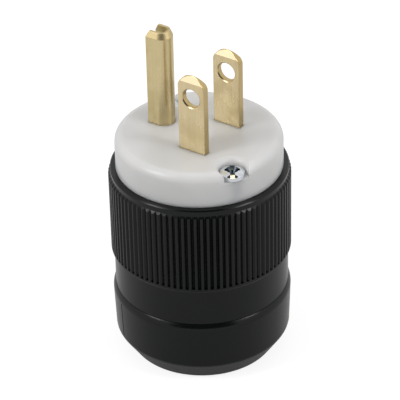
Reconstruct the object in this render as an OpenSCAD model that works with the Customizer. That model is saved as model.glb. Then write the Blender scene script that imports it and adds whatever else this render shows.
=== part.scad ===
// Straight blade plug: two flat blades and a folded ground pin in a round, screw-assembled body.
// Millimetres, +Z up. The origin is the centre of the rear cap's base, where the plug stands.
// The blades point up, and the ground pin lies towards +Y.

/* [Front body] */
// Step from the rib tips in to the front body's wall
face_step = 1.6; // [1.4:0.1:2.1]
// Height of the front body that shows above the grip
front_h = 7.5; // [6.5:0.25:9]
// Rounding of the front body's rim
rim_round = 1.8; // [0.8:0.2:2.4]
// Thickness of the plate that the blades pass through
plate_t = 3.2; // [2.6:0.2:4]
// Ledge on which the front body sits on the housing
seat_w = 0.9; // [0.6:0.1:1.2]
// Length of the spigot that centres the front body in the housing
spigot_h = 3.5; // [2.5:0.25:4]
// Length of the terminal core below the plate
core_h = 17.8; // [17:0.2:19]

/* [Grip housing] */
// Diameter across the rib tips
grip_d = 38.2; // [36:0.2:42]
// Height of the grip, from its lower lip to its top
grip_h = 19.5; // [18.5:0.5:24]
// Number of grooves round the grip
groove_count = 92; // [84:2:100]
// Depth of the grooves
groove_depth = 0.5; // [0.45:0.05:0.7]
// Width of a rib at its tip
rib_tip_w = 0.42; // [0.34:0.02:0.5]
// Bevel on the top end of each rib
rib_bevel = 0.4; // [0.25:0.05:0.45]
// Smooth band above the ribs
band_h = 1.35; // [0.8:0.05:2]
// Lip that closes the lower ends of the grooves
lip_h = 0.4; // [0.3:0.1:0.8]
// Step from the rib tips in to the waist
waist_step = 0.65; // [0.4:0.05:0.9]
// Height of the waist, from the joint to the lip
waist_h = 8.75; // [8:0.25:11]
// Radius of the hollow under the lip
cove_r = 1; // [0.8:0.1:1.4]
// Wall of the waist
waist_wall = 1.95; // [1.7:0.05:2]
// Thickness of the flange that carries the blade retainer
flange_t = 2.4; // [1.8:0.2:3]

/* [Rear cap] */
// Step from the rib tips in to the cap's rim
cap_step = 0.1; // [0:0.05:0.3]
// Height of the cap, up to the waist
cap_h = 15.75; // [14.35:0.1:17.85]
// Radius that the cap's wall loses from the rim to the bevel
cap_draft = 0.32; // [0:0.02:0.5]
// Height of the bevelled foot
foot_h = 4.95; // [4:0.05:5.2]
// Diameter of the base
base_d = 30.8; // [29:0.2:32]
// Rounding between the bevelled foot and the cap's wall
foot_round = 1.4; // [0.6:0.2:2]
// Height of the rounded shoulder from the cap's wall in to the waist
shoulder_h = 0.95; // [0.7:0.05:1.4]
// Open joint between the cap and the waist
joint_gap = 0.1; // [0.05:0.05:0.2]
// Step from the waist down to the spigot in the cap
joint_step = 0.84; // [0.7:0.02:0.95]
// Depth to which the housing's spigot enters the cap
joint_h = 3.85; // [2.85:0.25:4.85]
// Diameter of the cord hole
cord_d = 15.5; // [11:0.5:16.5]
// Thickness of the floor round the cord hole
floor_t = 3; // [2.4:0.2:3.6]
// Height of the cord jaws
jaw_h = 14; // [11:0.5:15]
// Ledge round the cord hole, under the jaws
cone_step = 1.65; // [1.4:0.05:2.2]

/* [Blades] */
// Width of a blade
blade_w = 6.35; // [6:0.05:6.6]
// Thickness of a blade
blade_t = 1.52; // [1.4:0.02:1.65]
// Length of a blade in front of the face
blade_len = 17.2; // [16:0.1:18.2]
// Distance between the blades
blade_spacing = 12.7; // [12.4:0.1:13]
// Place of the blades, off the body's axis
blade_y = -3.2; // [-3.6:0.1:-2.8]
// Radius of the blade's round tip
tip_r = 3.3; // [3.3:0.1:4.5]
// Height of the bevels at the tip
tip_bevel_h = 1.45; // [1:0.05:1.8]
// Thickness left at the tip
tip_t = 0.65; // [0.4:0.05:1]
// Diameter of the hole across a blade
hole_d = 4; // [3.2:0.1:4.2]
// Height of that hole above the face
hole_h = 12.2; // [11:0.1:12.4]
// Bevel round that hole
hole_bevel = 0.25; // [0.1:0.05:0.35]
// Width of a blade's foot, inside the body
foot_w = 8; // [7.2:0.2:8.4]

/* [Ground pin] */
// Width of the pin
pin_w = 4.75; // [4.5:0.05:5]
// Depth of the pin, from its round side to its open side
pin_depth = 4.75; // [4.5:0.05:5]
// Thickness of the folded strip
pin_t = 1.15; // [0.9:0.05:1.3]
// Length of the pin in front of the face
pin_len = 21.35; // [19.5:0.05:22]
// Distance from the blades to the pin
pin_offset = 11.9; // [11.7:0.1:12.1]
// Height of the bevel at the pin's tip
pin_bevel_h = 1.25; // [0.8:0.05:1.6]
// Inset of that bevel on the round side and the flat sides
pin_bevel = 0.52; // [0.3:0.02:0.6]
// Inset of that bevel on the open side
pin_edge_bevel = 0.9; // [0.4:0.05:1]

/* [Screws] */
// Shank diameter of a face screw
face_screw_d = 2.84; // [2.6:0.02:3]
// Head diameter of a face screw
face_head_d = 5.1; // [4.8:0.1:5.3]
// Height of that head at its edge
face_head_h = 1.05; // [0.8:0.05:1.2]
// Height of the dome on that head
face_dome_h = 0.65; // [0.4:0.05:0.8]
// Width of the slot and the cross recess in that head
recess_w = 0.95; // [0.8:0.05:1.1]
// Span of the cross recess
recess_span = 3.7; // [3:0.1:4]
// Depth of the slot across that head
slot_depth = 0.8; // [0.7:0.05:1]
// Depth of the middle of the cross recess
recess_depth = 1.3; // [1.1:0.05:1.5]
// Turn of the slots from the outward direction, in degrees
recess_turn = -25; // [-90:5:90]
// Depth of the pocket for that head
pocket_depth = 2.4; // [2:0.05:2.8]
// Distance from a face screw to the front body's edge
screw_edge = 2.3; // [2.2:0.05:2.9]
// Direction of the line through the face screws, in degrees from +X
screw_angle = 60.5; // [57:0.5:66]
// Shank diameter of a terminal screw
terminal_d = 3.5; // [3:0.1:3.6]
// Head diameter of a terminal screw
terminal_head_d = 6.4; // [5.6:0.1:6.6]
// Head height of a terminal screw
terminal_head_h = 2; // [1.6:0.1:2.2]
// Depth of the terminal screws below the plate
terminal_drop = 12; // [11.6:0.1:12.4]
// Width of a wire clamp
clamp_w = 7.8; // [7:0.2:8]
// Thickness of a wire clamp
clamp_t = 1.2; // [1:0.1:1.4]
// Diameter of a threaded insert
insert_d = 4.4; // [4:0.1:4.6]
// Length of a threaded insert
insert_h = 6; // [4.5:0.25:6]

/* [Fits] */
// Clearance of a blade in its slot
slot_fit = 0.1; // [0.05:0.05:0.2]
// Clearance between parts that plug into each other
spigot_fit = 0.15; // [0.1:0.05:0.2]
// Clearance of a screw shank in its hole
shank_fit = 0.2; // [0.1:0.05:0.25]
// Clearance of a thread in its thread
thread_fit = 0.02; // [0.01:0.01:0.05]
// Clearance of a screw head in its pocket
head_fit = 0.5; // [0.2:0.05:0.6]

/* [Hidden] */
$fn = 96;

// Overlap of a cut past the face it opens
cut = 1;
// How far a shape is sunk into the one it joins
sink = 0.3;

// Heights, from the base up
waist_z = cap_h + joint_gap;
lip_z = waist_z + waist_h;
ring_z = lip_z + grip_h;
face_z = ring_z + front_h;
ceiling_z = face_z - plate_t;
core_z = ceiling_z - core_h;
pocket_z = face_z - pocket_depth;
terminal_z = ceiling_z - terminal_drop;

// Radii of the body
grip_r = grip_d / 2;
face_r = grip_r - face_step;
waist_r = grip_r - waist_step;
cap_r = grip_r - cap_step;
base_r = base_d / 2;
foot_r = cap_r - cap_draft;
bore_r = face_r - seat_w;
chamber_r = waist_r - waist_wall;
joint_r = waist_r - joint_step;
root_r = grip_r - groove_depth;
band_r = grip_r - rib_bevel;

// Grip ribs: a groove's flanks meet below its floor
rib_top_z = ring_z - band_h - rib_bevel;
groove_z = lip_z + lip_h;
groove_pitch = 360 / groove_count;
groove_half = (grip_r * 2 * PI / groove_count - rib_tip_w) / 2;
flank_ratio = 1.1;
groove_flank = flank_ratio * groove_depth;
rib_over = 0.1;
band_round = 0.25;

// Face screws
screw_r = face_r - screw_edge;
shank_r = face_screw_d / 2;
shank_hole_r = shank_r + shank_fit;
head_r = face_head_d / 2;
pocket_r = head_r + head_fit;
core_r = screw_r - shank_hole_r - shank_fit;

// Terminals
blade_x = blade_spacing / 2;
pin_y = blade_y + pin_offset;
pin_r = pin_w / 2;
web_y = pin_y - pin_depth / 2;
fold_y = web_y + pin_r;
edge_y = web_y + pin_depth;
chamber_play = 0.5;
chamber_w = foot_w + 2 * chamber_play;
terminal_r = terminal_d / 2;
terminal_tip = 2.5;
retainer_foot = 1.8;
foot_z = core_z + retainer_foot;

// Blade retainer and the flange under it
retainer_t = 2.5;
retainer_r = core_r - spigot_fit;
retainer_rim = 0.8;
flange_z = core_z - retainer_t - flange_t;
wire_gap = 3;

// Cord grip in the cap
cord_r = cord_d / 2;
tube_r = core_r;
tube_wall = 1.6;
cone_r = tube_r - tube_wall;
cone_low_r = cord_r + cone_step;
jaw_fit = spigot_fit;
jaw_z = floor_t + spigot_fit;
jaw_top_z = jaw_z + jaw_h;
jaw_bite = 0.35;
jaw_bore_r = cord_r - jaw_bite;
jaw_split = 1.2;
press_r = cone_r - 2 * jaw_fit;
press_wall = 1.6;
press_z = jaw_top_z + thread_fit;
tube_rise = 0.5;
tube_top_z = jaw_top_z + tube_rise;
ledge_z = cap_h - joint_h;
ledge_w = 1.2;
cap_wall_r = joint_r - ledge_w;
coring_z = foot_h;
boss_drop = 0.9;
boss_z = ledge_z - boss_drop;
boss_wall = 1.2;
boss_r = insert_d / 2 + boss_wall;
insert_z = boss_z - insert_h;
tip_room = 0.5;

// Colours
white_nylon = "#dedcd6";
black_nylon = "#232527";
grey_nylon = "#55585a";
brass = "#cdb87e";
nickel = "#c6c8c6";
zinc = "#b9c0c6";
green_steel = "#3f8a4f";

// Copies its children to the two face screws
module at_face_screws() {
    for (turn = [0, 180])
        rotate(screw_angle + turn)
            translate([screw_r, 0, 0])
                children();
}

// A box that is centred in Y, from x0 to x1 and from z0 to z1
module box_along_x(x0, x1, w, z0, z1) {
    translate([x0, -w / 2, z0])
        cube([x1 - x0, w, z1 - z0]);
}

// Puts a terminal's parts, drawn with the metal's outer face at x = 0, on each of the three terminals
module at_line() {
    translate([blade_x + blade_t / 2, blade_y, 0])
        children();
}

module at_neutral() {
    mirror([1, 0, 0])
        at_line()
            children();
}

module at_ground() {
    translate([0, web_y + pin_t, 0])
        rotate(90)
            children();
}

// Section of the folded ground pin, with a clearance all round
module pin_section(fit = 0) {
    difference() {
        union() {
            translate([0, fold_y])
                circle(r = pin_r + fit);
            translate([-pin_r - fit, fold_y])
                square([pin_w + 2 * fit, edge_y - fold_y + fit]);
        }
        translate([0, fold_y])
            circle(r = pin_r - pin_t - fit);
        translate([-pin_r + pin_t + fit, fold_y])
            square([pin_w - 2 * pin_t - 2 * fit, edge_y - fold_y + fit + cut]);
    }
}

// Chamber for one terminal: open below and at the side, with room for the screw's tip
module terminal_chamber(metal_t) {
    box_along_x(-metal_t - slot_fit, core_r, chamber_w, core_z - cut, ring_z - spigot_h);
    box_along_x(-metal_t - slot_fit, clamp_t + terminal_head_h, chamber_w, core_z - cut, ceiling_z);
    translate([-metal_t - terminal_tip - shank_fit, 0, terminal_z])
        rotate([0, 90, 0])
            cylinder(r = terminal_r + shank_fit, h = terminal_tip + shank_fit + cut);
}

// White front: rounded head, spigot in the housing and the core that holds the terminals
module front_body() {
    color(white_nylon)
        difference() {
            rotate_extrude()
                front_section();
            at_line()
                terminal_chamber(blade_t);
            at_neutral()
                terminal_chamber(blade_t);
            at_ground()
                terminal_chamber(pin_t);
            for (side = [-1, 1])
                translate([side * blade_x, blade_y, face_z])
                    cube([blade_t + 2 * slot_fit, blade_w + 2 * slot_fit, 2 * plate_t + cut], center = true);
            translate([0, 0, ceiling_z - cut])
                linear_extrude(plate_t + 2 * cut)
                    pin_section(slot_fit);
            at_face_screws()
                face_screw_cut();
        }
}

module front_section() {
    translate([0, ring_z])
        square([face_r, front_h - rim_round]);
    translate([0, ring_z])
        square([face_r - rim_round, front_h]);
    translate([face_r - rim_round, face_z - rim_round])
        circle(r = rim_round);
    translate([0, ring_z - spigot_h])
        square([bore_r - spigot_fit, spigot_h + sink]);
    translate([0, core_z])
        square([core_r, ceiling_z - core_z]);
}

// Shank hole, head pocket that opens through the rim, and channel down the spigot
module face_screw_cut() {
    translate([0, 0, ring_z - spigot_h - cut])
        cylinder(r = shank_hole_r, h = front_h + spigot_h + 2 * cut);
    translate([0, 0, pocket_z]) {
        cylinder(r = pocket_r, h = pocket_depth + cut);
        translate([0, -pocket_r, 0])
            cube([screw_edge + cut, 2 * pocket_r, pocket_depth + cut]);
    }
    translate([0, -shank_hole_r, ring_z - spigot_h - cut])
        cube([bore_r - screw_r, 2 * shank_hole_r, spigot_h + 2 * cut]);
}

// Blade with its outer face on the YZ plane at x = 0: round tip, bevels, cross hole and wider foot
module blade() {
    tip_z = face_z + blade_len;
    half_t = blade_t / 2;
    translate([-half_t, 0, 0])
        difference() {
            intersection() {
                translate([-half_t, 0, 0])
                    rotate([90, 0, 90])
                        linear_extrude(blade_t)
                            blade_outline(tip_z);
                translate([0, foot_w, 0])
                    rotate([90, 0, 0])
                        linear_extrude(2 * foot_w)
                            polygon([
                                [-half_t, foot_z], [half_t, foot_z], [half_t, tip_z - tip_bevel_h],
                                [tip_t / 2, tip_z], [-tip_t / 2, tip_z], [-half_t, tip_z - tip_bevel_h]
                            ]);
            }
            translate([0, 0, face_z + hole_h])
                rotate([0, 90, 0])
                    bevelled_hole(hole_d / 2, half_t);
            translate([0, 0, terminal_z])
                rotate([0, 90, 0])
                    cylinder(r = terminal_r + thread_fit, h = 2 * blade_t, center = true);
        }
}

module blade_outline(tip_z) {
    intersection() {
        translate([-blade_w / 2, ceiling_z - sink])
            square([blade_w, tip_z - ceiling_z + sink]);
        union() {
            translate([0, tip_z - tip_r])
                circle(r = tip_r);
            translate([-blade_w / 2, ceiling_z - sink])
                square([blade_w, tip_z - tip_r - ceiling_z + sink]);
            translate([-blade_w / 2, tip_z - tip_r])
                square([blade_w, sqrt(tip_r * tip_r - blade_w * blade_w / 4)]);
        }
    }
    translate([-foot_w / 2, foot_z])
        square([foot_w, ceiling_z - foot_z]);
}

// Through hole of a plate that is 2 * half thick, bevelled at both faces
module bevelled_hole(r, half) {
    cylinder(r = r, h = 2 * half + cut, center = true);
    for (side = [0, 1])
        mirror([0, 0, side])
            translate([0, 0, half - hole_bevel])
                cylinder(r1 = r, r2 = r + 2 * hole_bevel, h = 2 * hole_bevel);
}

module line_blade() {
    color(brass)
        at_line()
            blade();
}

module neutral_blade() {
    color(brass)
        at_neutral()
            blade();
}

// Folded pin, tapered at its tip, with a flat terminal tongue below the plate
module ground_pin() {
    tip_z = face_z + pin_len;
    color(brass)
        difference() {
            union() {
                intersection() {
                    translate([0, 0, ceiling_z - sink])
                        linear_extrude(tip_z - ceiling_z + sink)
                            pin_section();
                    pin_taper(tip_z);
                }
                at_ground()
                    box_along_x(-pin_t, 0, foot_w, foot_z, ceiling_z);
            }
            at_ground()
                translate([0, 0, terminal_z])
                    rotate([0, 90, 0])
                        cylinder(r = terminal_r + thread_fit, h = 4 * pin_t, center = true);
        }
}

// Envelope of the pin: a cone round the fold, flat bevels on the legs, a slope on the open edges
module pin_taper(tip_z) {
    bevel_z = tip_z - pin_bevel_h;
    low_z = ceiling_z - 2 * sink;
    half_tip = pin_r - pin_bevel;
    intersection() {
        union() {
            translate([0, fold_y, low_z])
                cylinder(r = pin_r, h = bevel_z - low_z);
            translate([0, fold_y, bevel_z])
                cylinder(r1 = pin_r, r2 = half_tip, h = pin_bevel_h);
            translate([0, edge_y + cut, 0])
                rotate([90, 0, 0])
                    linear_extrude(edge_y - fold_y + cut)
                        polygon([
                            [-pin_r, low_z], [pin_r, low_z], [pin_r, bevel_z],
                            [half_tip, tip_z], [-half_tip, tip_z], [-pin_r, bevel_z]
                        ]);
        }
        translate([-pin_w, 0, 0])
            rotate([90, 0, 90])
                linear_extrude(2 * pin_w)
                    polygon([
                        [web_y - cut, low_z], [edge_y, low_z], [edge_y, bevel_z],
                        [edge_y - pin_edge_bevel, tip_z], [web_y - cut, tip_z]
                    ]);
    }
}

// Long screws that pull the front body and the cap together over the housing
module face_screws() {
    tip_z = insert_z + tip_room;
    dome_r = (head_r * head_r + face_dome_h * face_dome_h) / (2 * face_dome_h);
    color(zinc)
        at_face_screws()
            difference() {
                union() {
                    translate([0, 0, tip_z])
                        cylinder(r = shank_r, h = pocket_z - tip_z + sink);
                    translate([0, 0, pocket_z])
                        cylinder(r = head_r, h = face_head_h);
                    intersection() {
                        translate([0, 0, pocket_z + face_head_h + face_dome_h - dome_r])
                            sphere(r = dome_r);
                        translate([0, 0, pocket_z + face_head_h])
                            cylinder(r = head_r, h = face_dome_h);
                    }
                }
                translate([0, 0, pocket_z + face_head_h + face_dome_h])
                    rotate(recess_turn)
                        head_recess();
            }
}

// Recess below z = 0: a slot across the head, the wings of a cross and a cone in the middle
module head_recess() {
    cube([face_head_d + cut, recess_w, 2 * slot_depth], center = true);
    cube([recess_w, recess_span, 2 * slot_depth], center = true);
    translate([0, 0, -recess_depth])
        cylinder(r1 = recess_w / 2, r2 = recess_span / 2 - recess_w / 2, h = 2 * recess_depth);
}

// Black sleeve: ribbed grip, waist, and the spigot that enters the cap
module grip_housing() {
    color(black_nylon)
        difference() {
            union() {
                rotate_extrude()
                    housing_section();
                grip_ribs();
            }
            rotate_extrude()
                housing_hollow();
            at_face_screws()
                translate([0, 0, ledge_z - cut])
                    cylinder(r = shank_hole_r, h = ring_z - ledge_z + 2 * cut);
        }
}

// Outer section of the housing without its ribs
module housing_section() {
    cove_h = sqrt(cove_r * cove_r - pow(cove_r - waist_step, 2));
    translate([0, ledge_z])
        square([joint_r, waist_z - ledge_z + sink]);
    translate([0, waist_z])
        square([waist_r, lip_z - waist_z + sink]);
    difference() {
        translate([0, lip_z - cove_h])
            square([grip_r, cove_h + lip_h]);
        translate([waist_r + cove_r, lip_z - cove_h])
            circle(r = cove_r);
    }
    polygon([
        [0, groove_z - sink], [root_r, groove_z - sink], [root_r, rib_top_z - rib_bevel],
        [band_r, rib_top_z + rib_bevel / 2], [band_r, ring_z - band_round], [0, ring_z - band_round]
    ]);
    translate([0, ring_z - band_h])
        square([band_r - band_round, band_h]);
    translate([band_r - band_round, ring_z - band_round])
        circle(r = band_round);
}

// Ribs of the grip, bevelled at their top ends
module grip_ribs() {
    intersection() {
        translate([0, 0, groove_z])
            linear_extrude(ring_z - groove_z)
                rib_star();
        rotate_extrude()
            polygon([
                [0, groove_z - cut], [grip_r, groove_z - cut], [grip_r, rib_top_z],
                [band_r - sink, rib_top_z + rib_bevel + sink], [0, rib_top_z + rib_bevel + sink]
            ]);
    }
}

// Star whose points are the ribs, carried past the tip and below the groove's floor
module rib_star() {
    flank = groove_half / groove_flank;
    out_r = grip_r + rib_over;
    out_half = atan((rib_tip_w / 2 - rib_over * flank) / out_r);
    valley_r = grip_r - groove_flank;
    points = [[valley_r, -groove_pitch / 2], [out_r, -out_half], [out_r, out_half]];
    polygon([
        for (i = [0:groove_count - 1], p = points)
            let (a = i * groove_pitch + p[1])
                [p[0] * cos(a), p[0] * sin(a)]
    ]);
}

// Inside of the housing: bore, wire opening, and the chamber round the cap's cone
module housing_hollow() {
    flange_top_z = flange_z + flange_t;
    translate([0, flange_top_z])
        square([bore_r, ring_z - flange_top_z + cut]);
    translate([0, press_z - cut])
        square([press_r - press_wall, flange_top_z - press_z + 2 * cut]);
    translate([0, ledge_z - cut])
        square([chamber_r, press_z - ledge_z + cut]);
    translate([press_r, ledge_z - cut])
        square([chamber_r - press_r, flange_z - ledge_z + cut]);
}

// Black cap: bevelled foot, rim, cone for the cord jaws and bosses for the inserts
module rear_cap() {
    color(black_nylon)
        difference() {
            union() {
                rotate_extrude()
                    difference() {
                        cap_section();
                        cap_coring();
                    }
                intersection() {
                    at_face_screws()
                        translate([0, 0, foot_h - sink])
                            cylinder(r = boss_r, h = boss_z - foot_h + sink);
                    translate([0, 0, foot_h - cut])
                        cylinder(r = cap_wall_r + sink, h = cap_h);
                }
            }
            rotate_extrude()
                cap_hollow();
            at_face_screws()
                translate([0, 0, insert_z])
                    cylinder(r = insert_d / 2 + thread_fit, h = insert_h + cut);
        }
}

// Outer section of the cap, its foot and wall joined by a rounding that touches both
module cap_section() {
    base_round = 0.35;
    rim_z = cap_h - shoulder_h;
    foot_lean = atan((foot_r - base_r) / foot_h);
    wall_lean = atan(cap_draft / (rim_z - foot_h));
    reach = foot_round * tan((foot_lean - wall_lean) / 2);
    low = [foot_r - reach * sin(foot_lean), foot_h - reach * cos(foot_lean)];
    high = [foot_r + reach * sin(wall_lean), foot_h + reach * cos(wall_lean)];
    polygon([
        [0, 0], [base_r - 2 * base_round, 0], [base_r + base_round * tan(foot_lean), base_round],
        low, high, [cap_r, rim_z], [0, rim_z]
    ]);
    translate(high + foot_round * [-cos(wall_lean), sin(wall_lean)])
        circle(r = foot_round);
    shoulder_section(rim_z);
    translate([0, foot_h])
        square([tube_r, tube_top_z - foot_h]);
}

// Shoulder from the cap's wall in to the waist: a round edge below, a hollow of the same radius above
module shoulder_section(rim_z) {
    shoulder_w = cap_r - waist_r;
    shoulder_r = (shoulder_w * shoulder_w + shoulder_h * shoulder_h) / (4 * shoulder_w);
    middle_r = waist_r + shoulder_w / 2;
    difference() {
        union() {
            translate([0, rim_z])
                square([middle_r, shoulder_h]);
            intersection() {
                translate([cap_r - shoulder_r, rim_z])
                    circle(r = shoulder_r);
                translate([waist_r, rim_z])
                    square([shoulder_w, shoulder_h / 2]);
            }
        }
        translate([waist_r + shoulder_r, cap_h])
            circle(r = shoulder_r);
    }
}

// Space between the cap's wall and its cone, with the ledge for the housing's spigot
module cap_coring() {
    translate([tube_r, coring_z])
        square([cap_wall_r - tube_r, cap_h - coring_z + cut]);
    translate([tube_r, ledge_z])
        square([joint_r + spigot_fit - tube_r, joint_h + cut]);
}

// Cord hole and the cone above it
module cap_hollow() {
    translate([0, -cut])
        square([cord_r, floor_t + 2 * cut]);
    polygon([
        [0, floor_t], [cone_low_r, floor_t], [cone_r, jaw_top_z], [cone_r, tube_top_z + cut],
        [0, tube_top_z + cut]
    ]);
}

// Nylon disc behind the core: feet under the blades, and slots for the wires inside its rim
module blade_retainer() {
    color(grey_nylon)
        difference() {
            union() {
                translate([0, 0, core_z - retainer_t])
                    cylinder(r = retainer_r, h = retainer_t);
                at_line()
                    retainer_foot_block(blade_t);
                at_neutral()
                    retainer_foot_block(blade_t);
                at_ground()
                    retainer_foot_block(pin_t);
            }
            intersection() {
                union() {
                    at_line()
                        wire_slot();
                    at_neutral()
                        wire_slot();
                    at_ground()
                        wire_slot();
                }
                translate([0, 0, core_z - retainer_t - cut])
                    cylinder(r = retainer_r - retainer_rim, h = retainer_t + 2 * cut);
            }
        }
}

module retainer_foot_block(metal_t) {
    box_along_x(-metal_t, 0, foot_w, core_z - sink, foot_z);
}

module wire_slot() {
    translate([0, 0, -cut])
        box_along_x(0, wire_gap, foot_w, core_z - retainer_t, core_z + 2 * cut);
}

// Terminal screw, with the metal's outer face at x = 0 and the clamp under its slotted head
module terminal_screw(metal_t) {
    slot_w = 0.9;
    translate([0, 0, terminal_z])
        rotate([0, 90, 0])
            difference() {
                union() {
                    translate([0, 0, -metal_t - terminal_tip])
                        cylinder(r = terminal_r, h = metal_t + terminal_tip + clamp_t + sink);
                    translate([0, 0, clamp_t])
                        cylinder(r = terminal_head_d / 2, h = terminal_head_h);
                }
                translate([0, 0, clamp_t + terminal_head_h])
                    cube([terminal_head_d + cut, slot_w, terminal_head_h], center = true);
            }
}

// Pressure plate under a terminal screw, grooved for the wire on both sides of the screw
module wire_clamp() {
    groove_r = clamp_t / 2;
    difference() {
        translate([0, 0, terminal_z])
            box_along_x(0, clamp_t, clamp_w, -clamp_w / 2, clamp_w / 2);
        translate([0, 0, terminal_z])
            rotate([0, 90, 0])
                cylinder(r = terminal_r + shank_fit, h = 4 * clamp_t, center = true);
        for (side = [-1, 1])
            translate([0, side * (terminal_r + clamp_w / 2) / 2, terminal_z - clamp_w])
                cylinder(r = groove_r, h = 2 * clamp_w);
    }
}

module line_terminal_screw() {
    color(brass)
        at_line()
            terminal_screw(blade_t);
}

module neutral_terminal_screw() {
    color(nickel)
        at_neutral()
            terminal_screw(blade_t);
}

module ground_terminal_screw() {
    color(green_steel)
        at_ground()
            terminal_screw(pin_t);
}

module line_wire_clamp() {
    color(brass)
        at_line()
            wire_clamp();
}

module neutral_wire_clamp() {
    color(nickel)
        at_neutral()
            wire_clamp();
}

module ground_wire_clamp() {
    color(green_steel)
        at_ground()
            wire_clamp();
}

// Threaded inserts in the cap's bosses, which take the face screws
module cap_inserts() {
    color(brass)
        at_face_screws()
            translate([0, 0, insert_z])
                difference() {
                    cylinder(r = insert_d / 2, h = insert_h);
                    translate([0, 0, -cut])
                        cylinder(r = shank_r + thread_fit, h = insert_h + 2 * cut);
                }
}

// Toothed wedge ring in the cap's cone, of which each jaw is one half
module jaw_ring() {
    tooth_count = 6;
    tooth_h = jaw_h / tooth_count;
    tooth_depth = 0.5;
    slope = (cone_r - cone_low_r) / (jaw_top_z - floor_t);
    low_r = cone_low_r + slope * (jaw_z - floor_t) - jaw_fit;
    rotate_extrude()
        polygon(concat(
            [[low_r, jaw_z], [cone_r - jaw_fit, jaw_top_z]],
            [
                for (i = [0:tooth_count - 1], p = [[tooth_depth, 0], [0, 0.5]])
                    [jaw_bore_r + p[0], jaw_top_z - (i + p[1]) * tooth_h]
            ],
            [[jaw_bore_r + tooth_depth, jaw_z]]
        ));
}

module right_cord_jaw() {
    color(grey_nylon)
        intersection() {
            jaw_ring();
            translate([jaw_split / 2, -cone_r, 0])
                cube([cone_r, 2 * cone_r, jaw_top_z + cut]);
        }
}

module left_cord_jaw() {
    mirror([1, 0, 0])
        right_cord_jaw();
}

front_body();
line_blade();
neutral_blade();
ground_pin();
face_screws();
grip_housing();
rear_cap();
blade_retainer();
line_terminal_screw();
neutral_terminal_screw();
ground_terminal_screw();
line_wire_clamp();
neutral_wire_clamp();
ground_wire_clamp();
cap_inserts();
left_cord_jaw();
right_cord_jaw();
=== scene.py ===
"""Studio picture of a straight blade plug: its outer pieces, their finishes, the light and the camera."""

import logging
import math
from collections.abc import Callable, Iterable, Sequence
from dataclasses import dataclass, field, replace
from enum import Enum
from functools import cache, partialmethod
from typing import Any

import bmesh
import bpy
from mathutils import Matrix, Vector


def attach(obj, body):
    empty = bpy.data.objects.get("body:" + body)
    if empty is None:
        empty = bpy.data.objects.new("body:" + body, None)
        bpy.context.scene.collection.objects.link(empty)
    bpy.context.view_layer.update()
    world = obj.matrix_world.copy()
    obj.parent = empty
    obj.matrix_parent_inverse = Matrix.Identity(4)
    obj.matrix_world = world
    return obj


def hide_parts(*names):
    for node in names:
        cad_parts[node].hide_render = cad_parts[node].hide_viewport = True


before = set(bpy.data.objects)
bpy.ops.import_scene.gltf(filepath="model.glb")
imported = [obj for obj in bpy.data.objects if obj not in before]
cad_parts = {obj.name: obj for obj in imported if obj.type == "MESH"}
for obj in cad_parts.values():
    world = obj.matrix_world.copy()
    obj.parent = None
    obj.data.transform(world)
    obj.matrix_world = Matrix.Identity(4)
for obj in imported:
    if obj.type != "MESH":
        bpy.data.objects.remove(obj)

LOG = logging.getLogger("plug")

# A millimetre in metres
MM = 0.001

# Lengths in millimetres: what counts as one spot, slack in picking, a cutter's overshoot
WELD = 1e-4
SLACK = 0.01
OVER = 1.0

# Angles in degrees: brass edges shaded smooth, metal edges left unrounded, half of a straight corner
CRISP = 14.0
BLUNT = 40.0
STRAIGHT = 89.5

# Reach of worn edges in metres
WORN = 0.0002

WHITE = (1.0, 1.0, 1.0, 1.0)

Piece = bpy.types.Object
Pair = tuple[float, float]
Triple = tuple[float, float, float]
Colour = Corner = Spot = Triple


class Side(Enum):
    """Side of the plug that a blade stands on, as a factor of X."""

    LINE = 1
    NEUTRAL = -1


def arc(centre: Pair, radius: float, start: float, end: float, steps: int) -> list[Pair]:
    """Gives points on a circle in a profile's plane.

    Args:
        centre: Centre of the circle.
        radius: Its radius.
        start: First direction in degrees.
        end: Last direction in degrees.
        steps: Number of steps between them.

    Returns:
        The points, first and last included.
    """
    turns = (math.radians(start + (end - start) * i / steps) for i in range(steps + 1))
    return [(centre[0] + radius * math.cos(t), centre[1] + radius * math.sin(t)) for t in turns]


def rounded(corners: Sequence[Corner], steps: int = 4) -> list[Pair]:
    """Turns a closed outline's corners into points, with each corner rounded by its own radius.

    Args:
        corners: Place of each corner and the radius that rounds it.
        steps: Steps in each rounding.

    Returns:
        The points of the outline, with the first repeated at the end.
    """
    points: list[Pair] = []
    for i, (x, y, radius) in enumerate(corners):
        here = Vector((x, y))
        before = (Vector(corners[i - 1][:2]) - here).normalized()
        after = (Vector(corners[(i + 1) % len(corners)][:2]) - here).normalized()
        half = before.angle(after) / 2 if radius else 0.0
        if not radius or half > math.radians(STRAIGHT):
            points.append((x, y))
            continue
        reach = radius / math.tan(half)
        centre = here + (before + after).normalized() * (radius / math.sin(half))
        first = here + before * reach - centre
        last = here + after * reach - centre
        sweep = first.angle_signed(last)
        for k in range(steps + 1):
            spoke = first.copy()
            spoke.rotate(Matrix.Rotation(-sweep * k / steps, 2))
            points.append(tuple(centre + spoke))
    return points + points[:1]


def turned(degrees: float, axis: str = "Z") -> Matrix:
    """Gives the turn by an angle about an axis."""
    return Matrix.Rotation(math.radians(degrees), 4, axis)


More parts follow.
